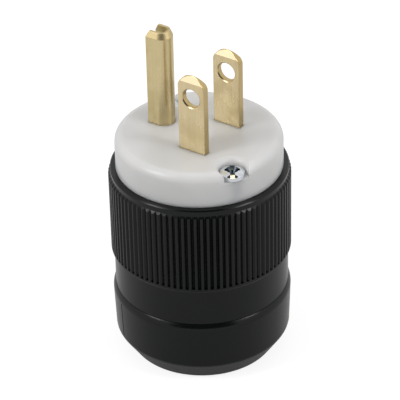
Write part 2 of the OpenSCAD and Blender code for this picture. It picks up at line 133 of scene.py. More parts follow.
class Bench:
    """The modelling bench: edit-mode operators on one piece at a time, in millimetres."""

    @staticmethod
    def clear() -> None:
        """Goes back to object mode with nothing selected."""
        if bpy.context.object and bpy.context.object.mode != "OBJECT":
            bpy.ops.object.mode_set(mode="OBJECT")
        bpy.ops.object.select_all(action="DESELECT")

    @classmethod
    def take(cls, piece: Piece) -> None:
        """Makes a piece the only selected one, and the active one.

        Args:
            piece: The piece.
        """
        cls.clear()
        piece.select_set(True)
        bpy.context.view_layer.objects.active = piece

    @classmethod
    def edit(cls, piece: Piece) -> None:
        """Opens a piece in edit mode with all of it selected.

        Args:
            piece: The piece.
        """
        cls.take(piece)
        bpy.ops.object.mode_set(mode="EDIT")
        bpy.ops.mesh.select_mode(type="VERT")
        bpy.ops.mesh.select_all(action="SELECT")

    @staticmethod
    def pick(test: Callable[[Vector], bool]) -> None:
        """Selects the vertices of the open mesh that pass a test, and the edges and faces between them.

        Args:
            test: Says of a vertex's place whether it is wanted.
        """
        shape = bmesh.from_edit_mesh(bpy.context.object.data)
        bpy.ops.mesh.select_all(action="DESELECT")
        for vertex in shape.verts:
            vertex.select = test(vertex.co)
        shape.select_flush(True)
        bmesh.update_edit_mesh(bpy.context.object.data)

    @classmethod
    def box(cls, low: Spot, high: Spot) -> Piece:
        """Adds a box between two corners, open in edit mode.

        Args:
            low: The corner with the lowest places.
            high: The corner with the highest places.

        Returns:
            The new piece.
        """
        cls.clear()
        middle = [(a + b) / 2 for a, b in zip(low, high)]
        bpy.ops.mesh.primitive_cube_add(size=1.0, location=(0, 0, 0))
        piece = bpy.context.object
        cls.edit(piece)
        bpy.ops.transform.resize(value=[b - a for a, b in zip(low, high)])
        bpy.ops.transform.translate(value=middle)
        return piece

    @classmethod
    def wire(cls, points: Iterable[Spot]) -> Piece:
        """Draws a chain of edges: a plane shrunk to one vertex, extruded from point to point.

        Args:
            points: The chain's points.

        Returns:
            The new piece, open in edit mode.
        """
        cls.clear()
        spots = [Vector(p) for p in points]
        bpy.ops.mesh.primitive_plane_add(size=1.0, location=(0, 0, 0))
        piece = bpy.context.object
        cls.edit(piece)
        bpy.ops.mesh.merge(type="CENTER")
        bpy.ops.transform.translate(value=spots[0])
        for here, there in zip(spots, spots[1:]):
            cls.extrude(there - here)
        bpy.ops.mesh.select_all(action="SELECT")
        return piece

    @staticmethod
    def extrude(reach: Spot | Vector) -> None:
        """Extrudes what is selected of the open mesh."""
        bpy.ops.mesh.extrude_region_move(TRANSFORM_OT_translate={"value": reach})

    @classmethod
    def lathe(cls, profile: Iterable[Pair], steps: int) -> Piece:
        """Turns a closed profile of radius and height round the Z axis.

        Args:
            profile: The profile's points.
            steps: Steps round the axis.

        Returns:
            The new piece, open in edit mode.
        """
        piece = cls.wire((r, 0.0, z) for r, z in profile)
        bpy.ops.mesh.spin(steps=steps, angle=math.tau, center=(0, 0, 0), axis=(0, 0, 1))
        cls.heal()
        return piece

    @classmethod
    def rod(cls, radius: float, low: float, high: float, steps: int = 32) -> Piece:
        """Turns a rod round the Z axis, between two heights."""
        return cls.lathe([(0.0, low), (radius, low), (radius, high), (0.0, high)], steps)

    @classmethod
    def prism(cls, outline: Iterable[Spot], reach: Spot) -> Piece:
        """Fills a closed outline and extrudes it.

        Args:
            outline: Points of the flat outline, with the first repeated at the end.
            reach: How far and which way it is extruded.

        Returns:
            The new piece, open in edit mode.
        """
        piece = cls.wire(outline)
        bpy.ops.mesh.remove_doubles(threshold=WELD)
        bpy.ops.mesh.edge_face_add()
        cls.extrude(reach)
        cls.heal()
        return piece

    @staticmethod
    def heal() -> None:
        """Merges the open mesh's doubles and turns its faces outwards."""
        bpy.ops.mesh.select_all(action="SELECT")
        bpy.ops.mesh.remove_doubles(threshold=WELD)
        bpy.ops.mesh.normals_make_consistent(inside=False)

    @staticmethod
    def trim(through: Spot, normal: Spot) -> None:
        """Cuts the open mesh by a plane, drops what lies beyond it and closes the cut."""
        bpy.ops.mesh.select_all(action="SELECT")
        bpy.ops.mesh.bisect(plane_co=through, plane_no=normal, use_fill=True, clear_outer=True)

    @classmethod
    def place(cls, piece: Piece, turn: Matrix) -> Piece:
        """Moves a piece's mesh by a matrix.

        Args:
            piece: The piece.
            turn: The matrix.

        Returns:
            The piece.
        """
        cls.clear()
        piece.data.transform(turn)
        piece.data.update()
        return piece

    @classmethod
    def modify(cls, piece: Piece, kind: str, **settings: Any) -> None:
        """Adds a modifier to a piece and applies it.

        Args:
            piece: The piece.
            kind: The modifier's type.
            settings: The modifier's settings.
        """
        cls.take(piece)
        step = piece.modifiers.new(kind, kind)
        for key, value in settings.items():
            setattr(step, key, value)
        bpy.ops.object.modifier_apply(modifier=step.name)

    @classmethod
    def carve(cls, piece: Piece, cutter: Piece, finish: int = 0) -> None:
        """Takes one piece away from another, and uses it up.

        Args:
            piece: The piece that stays.
            cutter: The piece that cuts it.
            finish: Which of the piece's finishes the cut faces get.
        """
        cls.clear()
        cutter.data.polygons.foreach_set("material_index", [finish] * len(cutter.data.polygons))
        cls.modify(piece, "BOOLEAN", operation="DIFFERENCE", solver="EXACT", object=cutter)
        bpy.data.objects.remove(cutter)

    @classmethod
    def soften(cls, piece: Piece, width: float, angle: float = 35.0) -> None:
        """Rounds the sharp edges of a piece by a bevel that is applied.

        Args:
            piece: The piece.
            width: Width of the bevel.
            angle: Edges sharper than this many degrees are rounded.
        """
        limit = math.radians(angle)
        cls.modify(piece, "BEVEL", width=width, segments=2, limit_method="ANGLE", angle_limit=limit)

    @classmethod
    def clean(cls, piece: Piece, reach: float = 0.002) -> None:
        """Merges the vertices that cuts leave on one spot, closes slits and dissolves faces without area.

        Args:
            piece: The piece.
            reach: Vertices nearer to each other than this are merged.
        """
        cls.edit(piece)
        bpy.ops.mesh.remove_doubles(threshold=reach)
        bpy.ops.mesh.fill_holes(sides=4)
        bpy.ops.mesh.dissolve_degenerate(threshold=reach)
        cls.clear()

    @classmethod
    def join(cls, pieces: Sequence[Piece]) -> Piece:
        """Joins pieces into the first of them.

        Args:
            pieces: The pieces.

        Returns:
            The first piece.
        """
        cls.take(pieces[0])
        for piece in pieces[1:]:
            piece.select_set(True)
        bpy.ops.object.join()
        return pieces[0]

    @classmethod
    def copy(cls, piece: Piece) -> Piece:
        """Copies a piece together with its mesh.

        Args:
            piece: The piece.

        Returns:
            The copy.
        """
        twin = piece.copy()
        twin.data = piece.data.copy()
        bpy.context.collection.objects.link(twin)
        return twin

    @classmethod
    def deliver(cls, piece: Piece, name: str, finish: "Finish", slot: str, node: str,
                smooth: float = 30.0) -> None:
        """Names, sizes, shades and dresses a finished piece, and puts it in the place of its CAD node.

        Args:
            piece: The piece, modelled in millimetres.
            name: Its name.
            finish: Its finish.
            slot: The record's material slot; not used.
            node: The CAD node that it stands for.
            smooth: Edges under this many degrees are shaded smooth.
        """
        cls.take(piece)
        piece.name = name
        piece.data.name = name
        piece.scale = (MM, MM, MM)
        bpy.ops.object.transform_apply(location=True, rotation=True, scale=True)
        bpy.ops.object.shade_smooth_by_angle(angle=math.radians(smooth))
        cls.modify(piece, "WEIGHTED_NORMAL", keep_sharp=True)
        if not piece.data.materials:
            piece.data.materials.append(finish.material())
        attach(piece, "root")
        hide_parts(node)
        LOG.info("%s: %d faces, in place of %s", name, len(piece.data.polygons), node)


class Wire:
    """A socket in an expression, whose operators add Math nodes to its tree."""

    def __init__(self, sheet: "Sheet", socket: bpy.types.NodeSocket) -> None:
        """Keeps a socket and the sheet that it is on."""
        self.sheet = sheet
        self.socket = socket

    def math(self, operation: str, *others: "Wire | float") -> "Wire":
        """Adds a Math node whose first input is this socket."""
        return self.sheet.node("ShaderNodeMath", dict(enumerate((self, *others))), operation=operation)

    __add__ = __radd__ = partialmethod(math, "ADD")
    __mul__ = __rmul__ = partialmethod(math, "MULTIPLY")
    __sub__ = partialmethod(math, "SUBTRACT")
    __abs__ = partialmethod(math, "ABSOLUTE")
    __lt__ = partialmethod(math, "LESS_THAN")
    __gt__ = partialmethod(math, "GREATER_THAN")
    __or__ = partialmethod(math, "MAXIMUM")

    def __rsub__(self, other: float) -> "Wire":
        """Subtracts this from a number."""
        return self.sheet.node("ShaderNodeMath", {0: other, 1: self}, operation="SUBTRACT")


class Sheet:
    """A node tree and the one method that adds a node to it."""

    def __init__(self, tree: bpy.types.NodeTree) -> None:
        """Takes a tree and empties it."""
        self.tree = tree
        tree.nodes.clear()

    @classmethod
    def paint(cls, name: str) -> tuple[bpy.types.Material, "Sheet"]:
        """Makes a material without nodes, and its sheet.

        Args:
            name: The material's name.

        Returns:
            The material and the sheet.
        """
        made = bpy.data.materials.new(name)
        made.use_nodes = True
        return made, cls(made.node_tree)

    def node(self, kind: str, inputs: dict[int | str, Any] | None = None, output: int | str = 0,
             **settings: Any) -> Wire:
        """Adds a node.

        Args:
            kind: The node's type.
            inputs: Values or wires for its sockets.
            output: The output that is wanted.
            settings: The node's settings, which are set first.

        Returns:
            The wire from that output.
        """
        made = self.tree.nodes.new(kind)
        for key, value in settings.items():
            setattr(made, key, value)
        for key, value in (inputs or {}).items():
            if isinstance(value, Wire):
                self.tree.links.new(value.socket, made.inputs[key])
            else:
                made.inputs[key].default_value = value
        return Wire(self, made.outputs[output] if len(made.outputs) else None)

    def noise(self, place: Wire, scale: float = 1.0, detail: float = 2.0) -> Wire:
        """Adds a noise whose level runs about from 0 to 1.

        Args:
            place: Coordinates.
            scale: Cycles per unit of them.
            detail: Detail of the noise.

        Returns:
            The noise's level.
        """
        return self.node("ShaderNodeTexNoise", {"Vector": place, "Scale": scale, "Detail": detail}, "Fac")

    def band(self, level: Wire, low: float, high: float) -> Wire:
        """Gives 0 below a level, 1 above another, and a smooth step between."""
        return self.node("ShaderNodeMapRange", {"Value": level, "From Min": low, "From Max": high},
                         interpolation_type="SMOOTHSTEP")

    def blend(self, mask: Wire, first: Colour | Wire, second: Colour) -> Wire:
        """Mixes two colours by a mask."""
        pair = [value if isinstance(value, Wire) else (*value, 1.0) for value in (first, second)]
        return self.node("ShaderNodeMix", {0: mask, 6: pair[0], 7: pair[1]}, 2, data_type="RGBA")

    def object_place(self, scale: Spot = (1.0, 1.0, 1.0)) -> Wire:
        """Gives the Object coordinates, scaled along each axis."""
        place = self.node("ShaderNodeTexCoord", {}, "Object")
        return self.node("ShaderNodeMapping", {"Vector": place, "Scale": scale})

    def axes(self, names: str) -> list[Wire]:
        """Gives the Object coordinates along the named axes."""
        return [self.node("ShaderNodeSeparateXYZ", {0: self.object_place()}, name) for name in names]

    def bump(self, height: Wire, depth: float) -> Wire:
        """Gives the normal that a height of 0 to 1, times a depth in metres, makes."""
        return self.node("ShaderNodeBump", {"Height": height, "Distance": depth})

    def edge(self, reach: float) -> Wire:
        """Gives 0 on open surfaces, and rises to 1 at edges.

        Args:
            reach: How far an edge reaches, in metres.

        Returns:
            The mask.
        """
        soft = self.node("ShaderNodeBevel", {"Radius": reach}, samples=6)
        flat = self.node("ShaderNodeNewGeometry", {}, "Normal")
        along = self.node("ShaderNodeVectorMath", {0: soft, 1: flat}, "Value", operation="DOT_PRODUCT")
        return self.band(1.0 - along, 0.01, 0.15)


@dataclass(frozen=True)
class Finish:
    """A surface finish, made once and shared by the pieces that have it."""

    name: str
    colour: Colour
    roughness: float

    @cache
    def material(self) -> bpy.types.Material:
        """Makes the finish's material, on first use.

        Returns:
            The material.
        """
        made, sheet = Sheet.paint(self.name)
        made.diffuse_color = (*self.colour, 1.0)
        shader = sheet.node("ShaderNodeBsdfPrincipled", self.sockets(sheet))
        sheet.node("ShaderNodeOutputMaterial", {"Surface": shader})
        return made

    def sockets(self, sheet: Sheet) -> dict[str, Any]:
        """Gives the values and wires of the shader's sockets."""
        raise NotImplementedError


@dataclass(frozen=True)
class MouldedNylon(Finish):
    """Moulded nylon: a fine eroded grain, slow changes of gloss and colour, rubbed edges, and a rougher,
    paler foot: scuffs, and a painted reflection of the floor.
    """

    shade: Colour = (0.0, 0.0, 0.0)
    rub: Colour = (0.5, 0.5, 0.5)
    specular: float = 0.5
    translucence: float = 0.0
    depth: float = 0.0012
    grain_depth: float = 6e-6
    scuff_and_reflection_z: float = 0.0
    scuff_and_reflection: Colour = (0.05, 0.05, 0.048)
    scuff_and_reflection_fade: float = 0.6

    def sockets(self, sheet: Sheet) -> dict[str, Any]:
        """Draws the finish's pattern.

        Args:
            sheet: The sheet of the finish's material.

        Returns:
            The values and wires of the shader's sockets.
        """
        place = sheet.object_place()
        cloud = sheet.band(sheet.noise(place, scale=90.0, detail=3.0), 0.35, 0.65)
        grain = sheet.noise(place, scale=5200.0, detail=1.0)
        drawn_out = sheet.object_place(scale=(700.0, 700.0, 160.0))
        scuff = sheet.band(sheet.noise(drawn_out, detail=4.0), 0.64, 0.74)
        edge = sheet.edge(WORN)
        colour = sheet.blend(cloud * 0.6 + grain * 0.25, self.colour, self.shade)
        colour = sheet.blend(edge * (cloud * 0.3 + 0.3), colour, self.rub)
        roughness = cloud * 0.05 + grain * 0.06 + scuff * 0.08 + (self.roughness - 0.055)
        # Below the foot's height the nylon is rougher and paler: scuffs, and a painted reflection of the
        # floor on the foot's bevel
        if self.scuff_and_reflection_z:
            fade_z = (self.scuff_and_reflection_z - self.scuff_and_reflection_fade) * MM
            foot = 1.0 - sheet.band(*sheet.axes("Z"), fade_z, self.scuff_and_reflection_z * MM)
            roughness = roughness + foot * 0.25
            colour = sheet.blend(foot * (scuff * 0.5 + cloud * 0.3 + 0.2), colour, self.scuff_and_reflection)
        return {
            "Base Color": colour, "Roughness": roughness, "Specular IOR Level": self.specular,
            "Subsurface Weight": self.translucence, "Subsurface Radius": (1.0, 0.95, 0.9),
            "Subsurface Scale": self.depth, "Normal": sheet.bump(grain, self.grain_depth),
        }


@dataclass(frozen=True)
class DrawnBrass(Finish):
    """Drawn and stamped brass: fine lines, broad streaks, uneven tarnishing and worn bright edges.

    Above a height the tip takes the bright colour and its own roughness: a painted highlight on the blades'
    bevels, and painted shade on the pin's tip, whose bright colour is the darker one. Painted shade in the
    darker colour also falls inside a fold, within half a width and past a Y, on the narrow sides, outside two
    places in Y, on the wall of a hole, by its Y, Z and radius, and on the rim of the round tip, by the height
    of its centre and a radius.
    """

    tarnish_and_shade: Colour = (0.45, 0.32, 0.13)
    bright: Colour = (0.9, 0.8, 0.54)
    streak: float = 0.12
    tip_paint_z: float = 0.0
    tip_paint_rough: float = 0.0
    fold: Pair = (0.0, 0.0)
    shaded_sides: Pair = (0.0, 0.0)
    hole: Triple = (0.0, 0.0, 0.0)
    tip: Pair = (0.0, 0.0)
    line_depth: float = 2.5e-6

    def sockets(self, sheet: Sheet) -> dict[str, Any]:
        """Draws the finish's pattern.

        Args:
            sheet: The sheet of the finish's material.

        Returns:
            The values and wires of the shader's sockets.
        """
        lines = sheet.noise(sheet.object_place(scale=(5200.0, 5200.0, 130.0)))
        broad = sheet.noise(sheet.object_place(scale=(1300.0, 1300.0, 22.0)), detail=1.0)
        broad = sheet.band(broad, 0.4, 0.65)
        cloud = sheet.band(sheet.noise(sheet.object_place(), scale=210.0, detail=4.0), 0.42, 0.75)
        edge = sheet.edge(WORN)
        colour = sheet.blend(cloud * 0.3 + lines * 0.12 + broad * self.streak, self.colour, self.tarnish_and_shade)
        wear_and_tip_paint, rough = edge * 0.15, self.roughness - 0.09
        # Above a height the tip is painted: lighter on the blades' bevels, a painted highlight, and darker on
        # the pin's tip, painted shade
        if self.tip_paint_z:
            (height,) = sheet.axes("Z")
            tip_paint = height > self.tip_paint_z * MM
            wear_and_tip_paint = wear_and_tip_paint | tip_paint * (0.85 - cloud * 0.3)
            rough = tip_paint * self.tip_paint_rough + rough
        colour = sheet.blend(wear_and_tip_paint, colour, self.bright)
        # Painted shade inside the fold
        if any(self.fold):
            x, y = sheet.axes("XY")
            inside = (abs(x) < self.fold[0] * MM) * (y > self.fold[1] * MM)
            colour = sheet.blend(inside * (cloud * 0.3 + 0.5), colour, self.tarnish_and_shade)
        # Painted shade on the narrow sides, the hole's wall and the tip's rim
        if any(self.shaded_sides):
            y, z = sheet.axes("YZ")
            side = (y < self.shaded_sides[0] * MM) | (y > self.shaded_sides[1] * MM)
            across = y - self.hole[0] * MM
            along, above = z - self.hole[1] * MM, z - self.tip[0] * MM
            wall = (across * across + along * along) < (self.hole[2] * MM) ** 2
            rim = (across * across + above * above > (self.tip[1] * MM) ** 2) * (above > 0.0)
            colour = sheet.blend(side | wall | rim, colour, self.tarnish_and_shade)
        roughness = lines * 0.14 + cloud * 0.08 - edge * 0.06 + rough
        return {
            "Base Color": colour, "Metallic": 1.0, "Roughness": roughness,
            "Normal": sheet.bump(lines, self.line_depth),
        }


@dataclass(frozen=True)
class PlatedMetal(Finish):
    """Plated metal: a bright crystalline mottle with dull patches."""

    dull: Colour = (0.3, 0.3, 0.3)
    spangle_depth: float = 2e-6

    def sockets(self, sheet: Sheet) -> dict[str, Any]:
        """Draws the finish's pattern.

        Args:
            sheet: The sheet of the finish's material.

        Returns:
            The values and wires of the shader's sockets.
        """
        place = sheet.object_place()
        spangle = sheet.node("ShaderNodeTexVoronoi", {"Vector": place, "Scale": 2600.0}, "Distance")
        cloud = sheet.band(sheet.noise(place, scale=700.0, detail=3.0), 0.4, 0.7)
        colour = sheet.blend(cloud * 0.5 + spangle * 0.3, self.colour, self.dull)
        roughness = cloud * 0.12 + spangle * 0.1 + (self.roughness - 0.1)
        return {
            "Base Color": colour, "Metallic": 1.0, "Roughness": roughness,
            "Normal": sheet.bump(spangle, self.spangle_depth),
        }


WHITE_NYLON = MouldedNylon("front_nylon", (0.76, 0.757, 0.752), 0.33, shade=(0.71, 0.707, 0.702),
                           rub=(0.8, 0.797, 0.792), translucence=1.0, depth=0.0035, grain_depth=5e-6)
BLACK_NYLON = MouldedNylon("housing_nylon", (0.0026, 0.0038, 0.0032), 0.21, shade=(0.0038, 0.0052, 0.0045),
                           rub=(0.012, 0.014, 0.013), specular=0.22, grain_depth=3e-6)
CAP_NYLON = replace(BLACK_NYLON, name="cap_nylon")
GREY_NYLON = MouldedNylon("inner_nylon", (0.09, 0.095, 0.1), 0.5, shade=(0.06, 0.064, 0.068),
                          rub=(0.14, 0.145, 0.15))
# The blades' bright colour paints a highlight on the tips' bevels; their darker colour paints shade on the
# narrow sides, the holes' walls and the tips' rims
BLADE_BRASS = DrawnBrass("blade_brass", (0.707, 0.588, 0.36), 0.27, tarnish_and_shade=(0.5, 0.38, 0.18),
                         bright=(0.92, 0.76, 0.5))
# The pin's bright colour is darker than its own: painted shade on its tip; its darker colour paints shade
# inside the fold
PIN_BRASS = DrawnBrass("pin_brass", (0.66, 0.545, 0.31), 0.3, tarnish_and_shade=(0.38, 0.3, 0.13),
                       bright=(0.56, 0.45, 0.24), streak=0.15, tip_paint_rough=0.16)
SCREW_BRASS = DrawnBrass("turned_brass", (0.72, 0.52, 0.22), 0.3, tarnish_and_shade=(0.4, 0.26, 0.09))
ZINC_PLATE = PlatedMetal("zinc_plate", (0.7, 0.72, 0.75), 0.3, dull=(0.46, 0.49, 0.52))
# Dark zinc for the cut faces of the screws' recess: painted shade in the recess
PAINTED_RECESS_SHADE = PlatedMetal("recess_painted_shade", (0.055, 0.07, 0.085), 0.34, dull=(0.025, 0.033, 0.04))
NICKEL_PLATE = PlatedMetal("nickel_plate", (0.64, 0.62, 0.57), 0.28, dull=(0.45, 0.44, 0.41))
GREEN_DYE = PlatedMetal("green_dye", (0.06, 0.32, 0.11), 0.34, dull=(0.03, 0.18, 0.06))


@dataclass
class Body:
    """Sizes that several pieces share, in millimetres."""

    grip_r: float = 19.1
    waist_r: float = 18.45
    face_r: float = 17.5
    joint_r: float = 17.61
    bore_r: float = 16.6
    screw_r: float = 15.2
    screw_angle: float = 60.5
    shank_hole_r: float = 1.62
    core_wall: float = 0.2
    tube_wall: float = 1.6
    face_z: float = 51.6
    pocket_z: float = 49.2
    ceiling_z: float = 48.4
    ring_z: float = 44.1
    terminal_z: float = 36.4
    foot_z: float = 32.4
    core_z: float = 30.6
    lip_z: float = 24.6
    waist_z: float = 15.85
    cap_h: float = 15.75
    ledge_z: float = 11.9
    foot_w: float = 8.0
    blade_x: float = 6.35
    blade_y: float = -3.2
    web_y: float = 6.325
    steps: int = 184
    hole_steps: int = 40

    @property
    def core_r(self) -> float:
        """Gives the radius of the terminal core and of the cap's tube, just inside the screws."""
        return self.screw_r - self.shank_hole_r - self.core_wall

    @property
    def cone_r(self) -> float:
        """Gives the radius of the cap's cone at its top."""
        return self.core_r - self.tube_wall

    def at_screws(self) -> list[Matrix]:
        """Gives the places of the two face screws, each with X pointing outwards."""
        out = Matrix.Translation((self.screw_r, 0.0, 0.0))
        return [turned(self.screw_angle + extra) @ out for extra in (0.0, 180.0)]

    def shank_cuts(self, low_z: float, high_z: float) -> list[Piece]:
        """Makes the cutters of the two shank holes between two heights."""
        return [Bench.place(Bench.rod(self.shank_hole_r, low_z, high_z, self.hole_steps), place)
                for place in self.at_screws()]

    def at_terminals(self, blade_t: float, pin_t: float) -> list[tuple[Matrix, float]]:
        """Gives the three terminals' places, with the metal's outer face at x = 0.

        Args:
            blade_t: Thickness of the blades.
            pin_t: Thickness of the pin's strip.

        Returns:
            Each terminal's place and the thickness of its metal.
        """
        line = Matrix.Translation((self.blade_x + blade_t / 2, self.blade_y, 0.0))
        neutral = Matrix.Diagonal((-1.0, 1.0, 1.0, 1.0)) @ line
        ground = Matrix.Translation((0.0, self.web_y + pin_t, 0.0)) @ turned(90.0)
        return [(line, blade_t), (neutral, blade_t), (ground, pin_t)]


@dataclass
class Blades:
    """The two flat blades, each with a round bevelled tip, a cross hole and a wider foot."""

    body: Body
    width: float = 6.35
    thick: float = 1.52
    length: float = 17.2
    tip_r: float = 3.3
    tip_bevel: float = 1.45
    tip_t: float = 0.65
    hole_r: float = 2.0
    hole_h: float = 12.2
    hole_bevel: float = 0.25
    hole_steps: int = 48
    edge_round: float = 0.09
    terminal_r: float = 1.77
    # Lift of the painted tip above the bevel's start, and reach of the painted shade on the narrow sides, the
    # hole's wall and the tip's rim
    tip_paint_lift: float = 0.02
    shaded_side_edge: float = 0.085
    hole_wall: float = 0.12
    tip_rim: float = 0.1

    def brass(self) -> DrawnBrass:
        """Fits the finish to the blades' tips, sides and holes.

        Returns:
            The finish.
        """
        body, half = self.body, self.width / 2 - self.shaded_side_edge
        tip_z = body.face_z + self.length
        return replace(BLADE_BRASS, tip_paint_z=tip_z - self.tip_bevel + self.tip_paint_lift,
                       shaded_sides=(body.blade_y - half, body.blade_y + half),
                       hole=(body.blade_y, body.face_z + self.hole_h, self.hole_r + self.hole_wall),
                       tip=(tip_z - self.tip_r, self.tip_r - self.tip_rim))

    def build(self) -> None:
        """Models one blade and puts a copy on each side."""
        blade = self._strip()
        half = self.thick / 2
        bevel_z = self.body.face_z + self.length - self.tip_bevel
        for side in (1.0, -1.0):
            Bench.edit(blade)
            Bench.trim((side * half, 0.0, bevel_z), (side * self.tip_bevel, 0.0, half - self.tip_t / 2))
        lay, bevel = turned(90.0, "Y"), self.hole_bevel
        rim = self.hole_r + 2 * bevel
        ring = [(0.0, -half - bevel), (rim, -half - bevel), (self.hole_r, bevel - half),
                (self.hole_r, half - bevel), (rim, half + bevel), (0.0, half + bevel)]
        cross = Bench.lathe(ring, self.hole_steps)
        terminal = Bench.rod(self.terminal_r, -half - OVER, half + OVER)
        for hole, z in ((cross, self.body.face_z + self.hole_h), (terminal, self.body.terminal_z)):
            Bench.carve(blade, Bench.place(hole, Matrix.Translation((0.0, 0.0, z)) @ lay))
        Bench.soften(blade, self.edge_round)
        twin = Bench.copy(blade)
        for piece, side in ((blade, Side.LINE), (twin, Side.NEUTRAL)):
            name = f"{side.name.lower()}_blade"
            Bench.place(piece, Matrix.Translation((side.value * self.body.blade_x, self.body.blade_y, 0.0)))
            Bench.deliver(piece, f"{name}_strip", self.brass(), "brass", name, CRISP)

    def _strip(self) -> Piece:
        """Extrudes the blade's outline, with its wider foot, to the strip's thickness.

        Returns:
            The new piece.
        """
        half, foot = self.width / 2, self.body.foot_w / 2
        tip_z = self.body.face_z + self.length
        low = math.degrees(math.acos(half / self.tip_r))
        outline = [(-half, self.body.ceiling_z), (-foot, self.body.ceiling_z), (-foot, self.body.foot_z),
                   (foot, self.body.foot_z), (foot, self.body.ceiling_z), (half, self.body.ceiling_z)]
        outline += arc((0.0, tip_z - self.tip_r), self.tip_r, low, 180.0 - low, steps=28)
        spots = [(-self.thick / 2, y, z) for y, z in outline + outline[:1]]
        return Bench.prism(spots, (self.thick, 0.0, 0.0))


@dataclass
class GroundPin:
    """The ground pin: a strip folded to a U, bevelled all round its tip, with a tongue below the face."""

    body: Body
    width: float = 4.75
    depth: float = 4.75
    thick: float = 1.15
    length: float = 21.35
    bevel_h: float = 1.25
    bevel: float = 0.52
    edge_bevel: float = 0.6
    lap: float = 0.3
    edge_round: float = 0.07
    tongue_round: float = 0.09
    terminal_r: float = 1.77
    # Drop of the painted shade on the tip below the bevel's start, and reach of the painted shade inside the
    # fold
    tip_paint_drop: float = 0.1
    fold_edge: Pair = (0.045, 0.075)

    def brass(self) -> DrawnBrass:
        """Fits the finish to the pin's tip and to the inside of its fold.

        Returns:
            The finish.
        """
        across, along = self.fold_edge
        fold = (self.width / 2 - self.thick + across, self.body.web_y + self.thick - along)
        tip_paint_z = self.body.face_z + self.length - self.bevel_h - self.tip_paint_drop
        return replace(PIN_BRASS, tip_paint_z=tip_paint_z, fold=fold)

    def section(self, fit: float = 0.0, steps: int = 24) -> list[Pair]:
        """Gives the U's outline in X and Y.

        Args:
            fit: Clearance all round.
            steps: Steps round each half circle.

        Returns:
            The outline's points, with the first repeated at the end.
        """
        fold = self.body.web_y + self.width / 2
        edge = self.body.web_y + self.depth + fit
        outer, inner = self.width / 2 + fit, self.width / 2 - self.thick - fit
        points = [(outer, edge), *arc((0.0, fold), outer, 0.0, -180.0, steps), (-outer, edge)]
        points += [(-inner, edge), *arc((0.0, fold), inner, 180.0, 360.0, steps), (inner, edge)]
        return points + points[:1]

    def build(self) -> None:
        """Models the folded strip and its tongue."""
        body = self.body
        tip_z = body.face_z + self.length
        low_z, bevel_z = body.ceiling_z - self.lap, tip_z - self.bevel_h
        pin = Bench.prism(((x, y, low_z) for x, y in self.section()), (0.0, 0.0, bevel_z - low_z))
        self._bevel_tip(bevel_z, tip_z)
        Bench.clear()
        Bench.soften(pin, self.edge_round, BLUNT)
        half, outer_y = body.foot_w / 2, body.web_y + self.thick
        tongue = Bench.box((-half, body.web_y, body.foot_z), (half, outer_y, body.ceiling_z))
        cutter = Bench.rod(self.terminal_r, -self.thick - OVER, self.thick + OVER)
        spot = Matrix.Translation((0.0, body.web_y, body.terminal_z)) @ turned(90.0, "X")
        Bench.carve(tongue, Bench.place(cutter, spot))
        Bench.soften(tongue, self.tongue_round)
        strip = Bench.join([pin, tongue])
        Bench.deliver(strip, "ground_pin_fold", self.brass(), "brass", "ground_pin", CRISP)

    def _bevel_tip(self, bevel_z: float, tip_z: float) -> None:
        """Extrudes the open pin's top and draws in its round side, flat sides and open edges.

        Args:
            bevel_z: Height at which the bevel starts.
            tip_z: Height of the tip.
        """
        fold = self.body.web_y + self.width / 2
        edge = self.body.web_y + self.depth
        radius = self.width / 2
        shrink = 1.0 - self.bevel / radius
        Bench.pick(lambda p: p.z > bevel_z - SLACK)
        Bench.extrude((0.0, 0.0, tip_z - bevel_z))
        centre, top_z, rim = (0.0, fold, tip_z), tip_z - SLACK, radius - SLACK
        Bench.pick(lambda p: p.z > top_z and p.y < fold - SLACK and math.hypot(p.x, p.y - fold) > rim)
        bpy.ops.transform.resize(value=(shrink, shrink, 1.0), center_override=centre)
        Bench.pick(lambda p: p.z > top_z and p.y > fold - SLACK and abs(p.x) > rim)
        bpy.ops.transform.resize(value=(shrink, 1.0, 1.0), center_override=centre)
        Bench.pick(lambda p: p.z > top_z and p.y > edge - SLACK)
        bpy.ops.transform.translate(value=(0.0, -self.edge_bevel, 0.0))
        Bench.heal()


